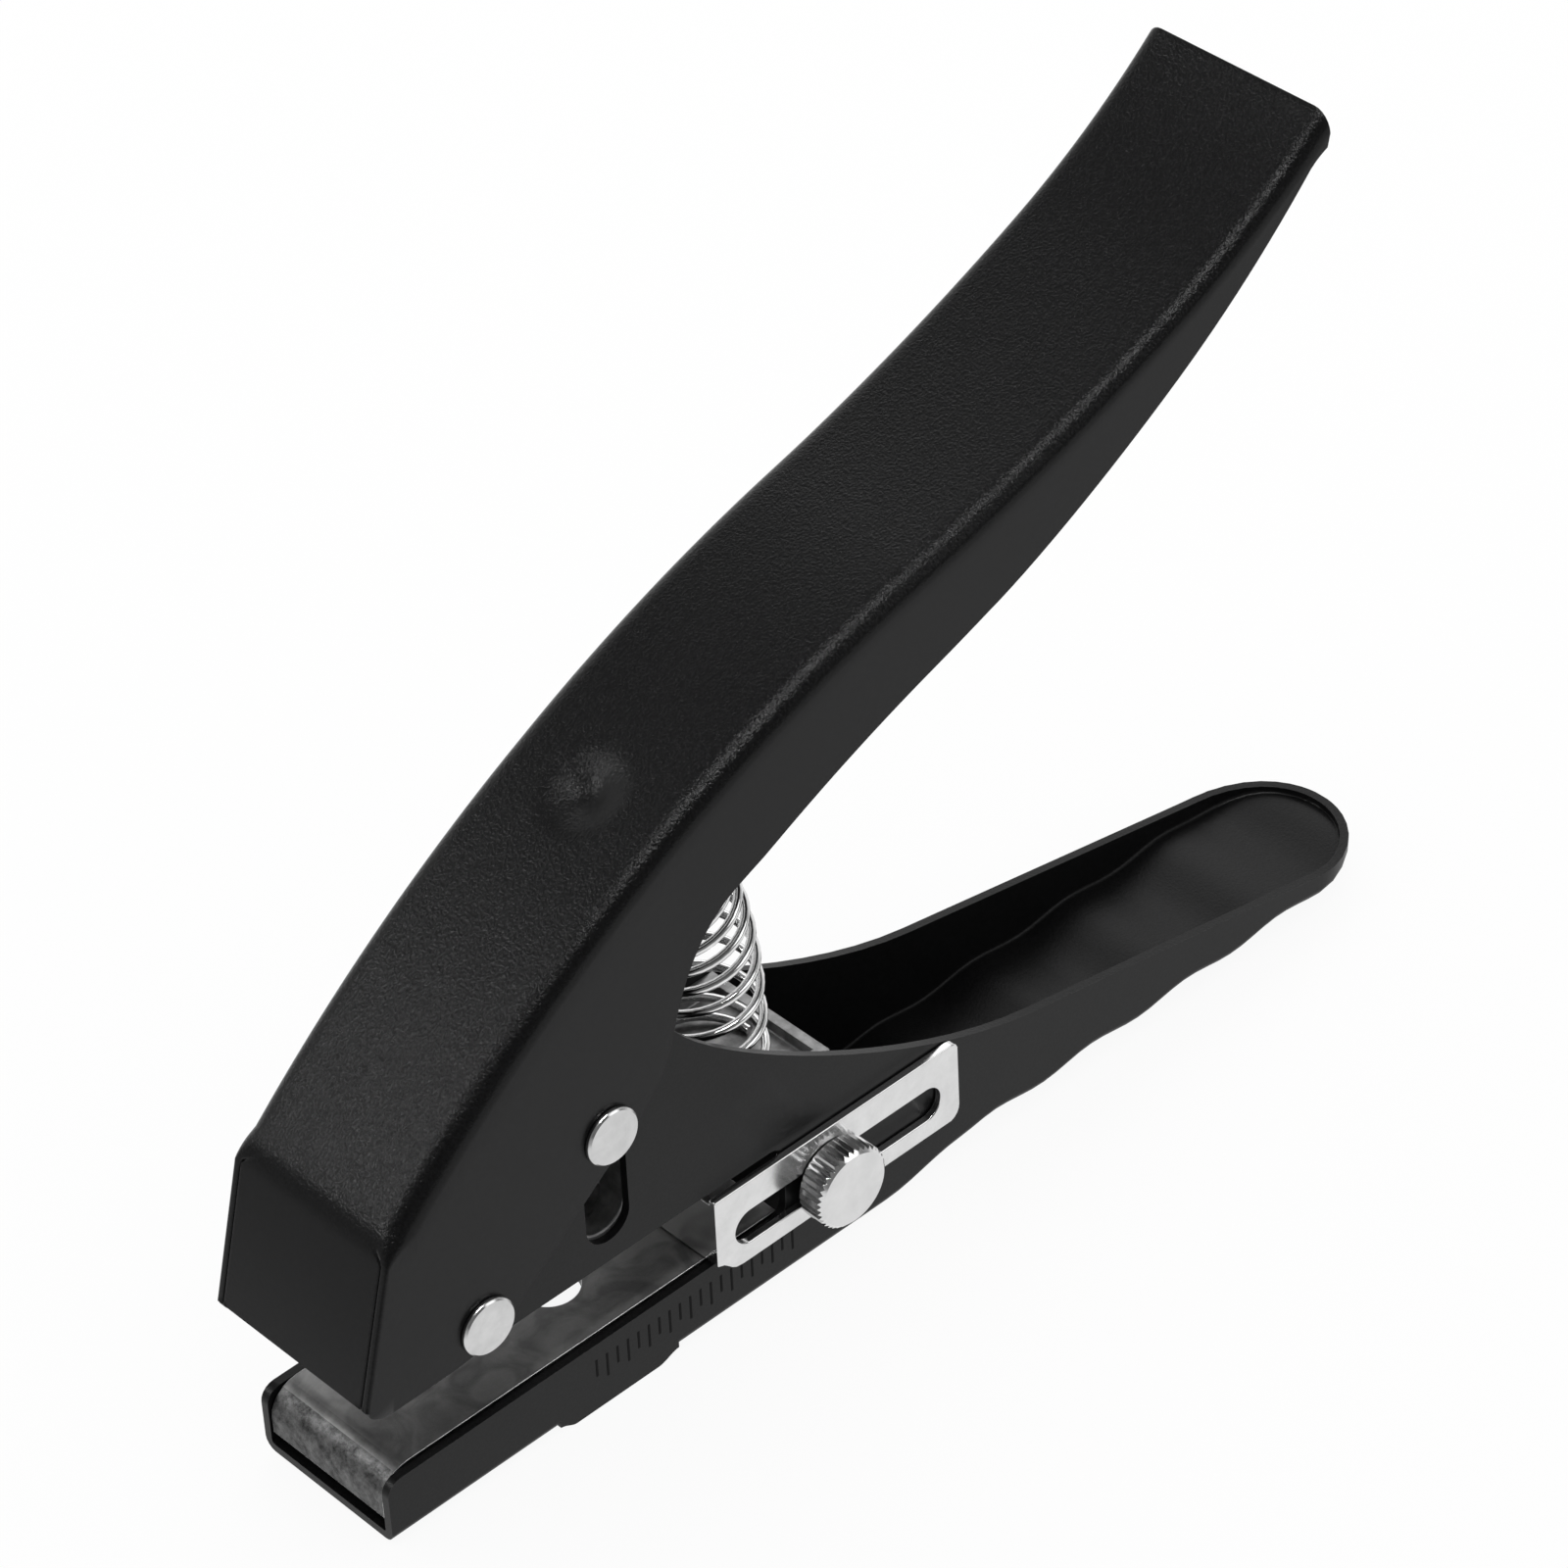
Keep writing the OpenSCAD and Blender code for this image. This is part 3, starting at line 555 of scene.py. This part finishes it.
# In what metal mirrors, the paper's glow is painted dimmer towards the left (low X) as a painted
# shade. To the camera it stays evenly white.
paper_place = paper_tree.nodes.new("ShaderNodeTexCoord")
paper_axes = paper_tree.nodes.new("ShaderNodeSeparateXYZ")
paper_tree.links.new(paper_place.outputs["Object"], paper_axes.inputs["Vector"])
falloff = paper_tree.nodes.new("ShaderNodeMapRange")
falloff.inputs["From Min"].default_value = -0.155
falloff.inputs["From Max"].default_value = -0.105
falloff.inputs["To Min"].default_value = 0.4
paper_tree.links.new(paper_axes.outputs["X"], falloff.inputs["Value"])
glow_level = paper_tree.nodes.new("ShaderNodeMapRange")
paper_tree.links.new(seen.outputs["Is Camera Ray"], glow_level.inputs["Value"])
paper_tree.links.new(falloff.outputs["Result"], glow_level.inputs["To Min"])
paper_tree.links.new(glow_level.outputs["Result"], glow.inputs["Strength"])
blend = paper_tree.nodes.new("ShaderNodeMixShader")
paper_tree.links.new(seen.outputs["Is Camera Ray"], either.inputs[0])
paper_tree.links.new(seen.outputs["Is Glossy Ray"], either.inputs[1])
paper_tree.links.new(either.outputs["Value"], share.inputs[0])
paper_tree.links.new(share.outputs["Value"], blend.inputs["Fac"])
paper_tree.links.new(paper_shader.outputs["BSDF"], blend.inputs[1])
paper_tree.links.new(glow.outputs["Emission"], blend.inputs[2])
paper_tree.links.new(blend.outputs["Shader"], paper_tree.nodes["Material Output"].inputs["Surface"])
floor_mesh.materials.append(paper)

world = bpy.data.worlds.new("studio")
world.use_nodes = True
bpy.context.scene.world = world
sky = world.node_tree.nodes["Background"]
sky.inputs["Color"].default_value = (1, 1, 1, 1)
sky_tree = world.node_tree
sky_path = sky_tree.nodes.new("ShaderNodeLightPath")
sky_way = sky_tree.nodes.new("ShaderNodeTexCoord")
sky_axes = sky_tree.nodes.new("ShaderNodeSeparateXYZ")
sky_tree.links.new(sky_way.outputs["Generated"], sky_axes.inputs["Vector"])

# What metal mirrors of the room: dimmer overhead, on the near side and on the left
room = None
for axis, start, end, from_level, to_level in (
    ("Z", 0.35, 0.75, 1, 0.36),
    ("Y", -0.6, 0.1, 0.2, 1),
    ("X", -0.85, -0.45, 0.4, 1),
):
    side = sky_tree.nodes.new("ShaderNodeMapRange")
    side.interpolation_type = "SMOOTHSTEP"
    side.inputs["From Min"].default_value = start
    side.inputs["From Max"].default_value = end
    side.inputs["To Min"].default_value = from_level
    side.inputs["To Max"].default_value = to_level
    sky_tree.links.new(sky_axes.outputs[axis], side.inputs["Value"])
    level = side.outputs["Result"]
    if room:
        both = sky_tree.nodes.new("ShaderNodeMath")
        both.operation = "MULTIPLY"
        sky_tree.links.new(room, both.inputs[0])
        sky_tree.links.new(level, both.inputs[1])
        level = both.outputs["Value"]
    room = level
mirrored = sky_tree.nodes.new("ShaderNodeMapRange")
mirrored.inputs["To Min"].default_value = 0.95
sky_tree.links.new(sky_path.outputs["Is Glossy Ray"], mirrored.inputs["Value"])
sky_tree.links.new(room, mirrored.inputs["To Max"])
straight = sky_tree.nodes.new("ShaderNodeMapRange")
straight.inputs["To Max"].default_value = 1
sky_tree.links.new(sky_path.outputs["Is Camera Ray"], straight.inputs["Value"])
sky_tree.links.new(mirrored.outputs["Result"], straight.inputs["To Min"])
sky_tree.links.new(straight.outputs["Result"], sky.inputs["Strength"])

for name, place, turned, wide, deep, power, lit in (
    ("strip_box", (-0.15, -0.22, 0.95), (13, -9, 0), 0.5, 0.07, 6, False),
    ("left_box", (-0.65, 0.39, 0.54), (-25.6, -53, 0), 0.2, 0.2, 2.6, False),
    ("edge_box", (0.47, -0.58, 0.53), (41, 31, 0), 0.5, 0.5, 1.4, False),
    ("rear_box", (0.45, 0.5, 0.6), (-33.7, 36.9, 0), 0.5, 0.5, 1, True),
):
    light = bpy.data.lights.new(name, "AREA")
    light.shape = "RECTANGLE"
    light.size = wide
    light.size_y = deep
    light.energy = power
    lamp = bpy.data.objects.new(name, light)
    lamp.location = place
    lamp.rotation_euler = [radians(angle) for angle in turned]
    lamp.visible_diffuse = lit
    bpy.context.collection.objects.link(lamp)

lens = bpy.data.cameras.new("photo_camera")
lens.sensor_width = 36
lens.lens = 137.97
lens.clip_end = 20
camera = bpy.data.objects.new("photo_camera", lens)
camera.location = (-0.35201, -0.38396, 0.47927)
camera.rotation_euler = (radians(50.904), radians(2.105), radians(-43.562))
bpy.context.collection.objects.link(camera)
bpy.context.scene.camera = camera
bpy.context.scene.view_settings.view_transform = "Standard"
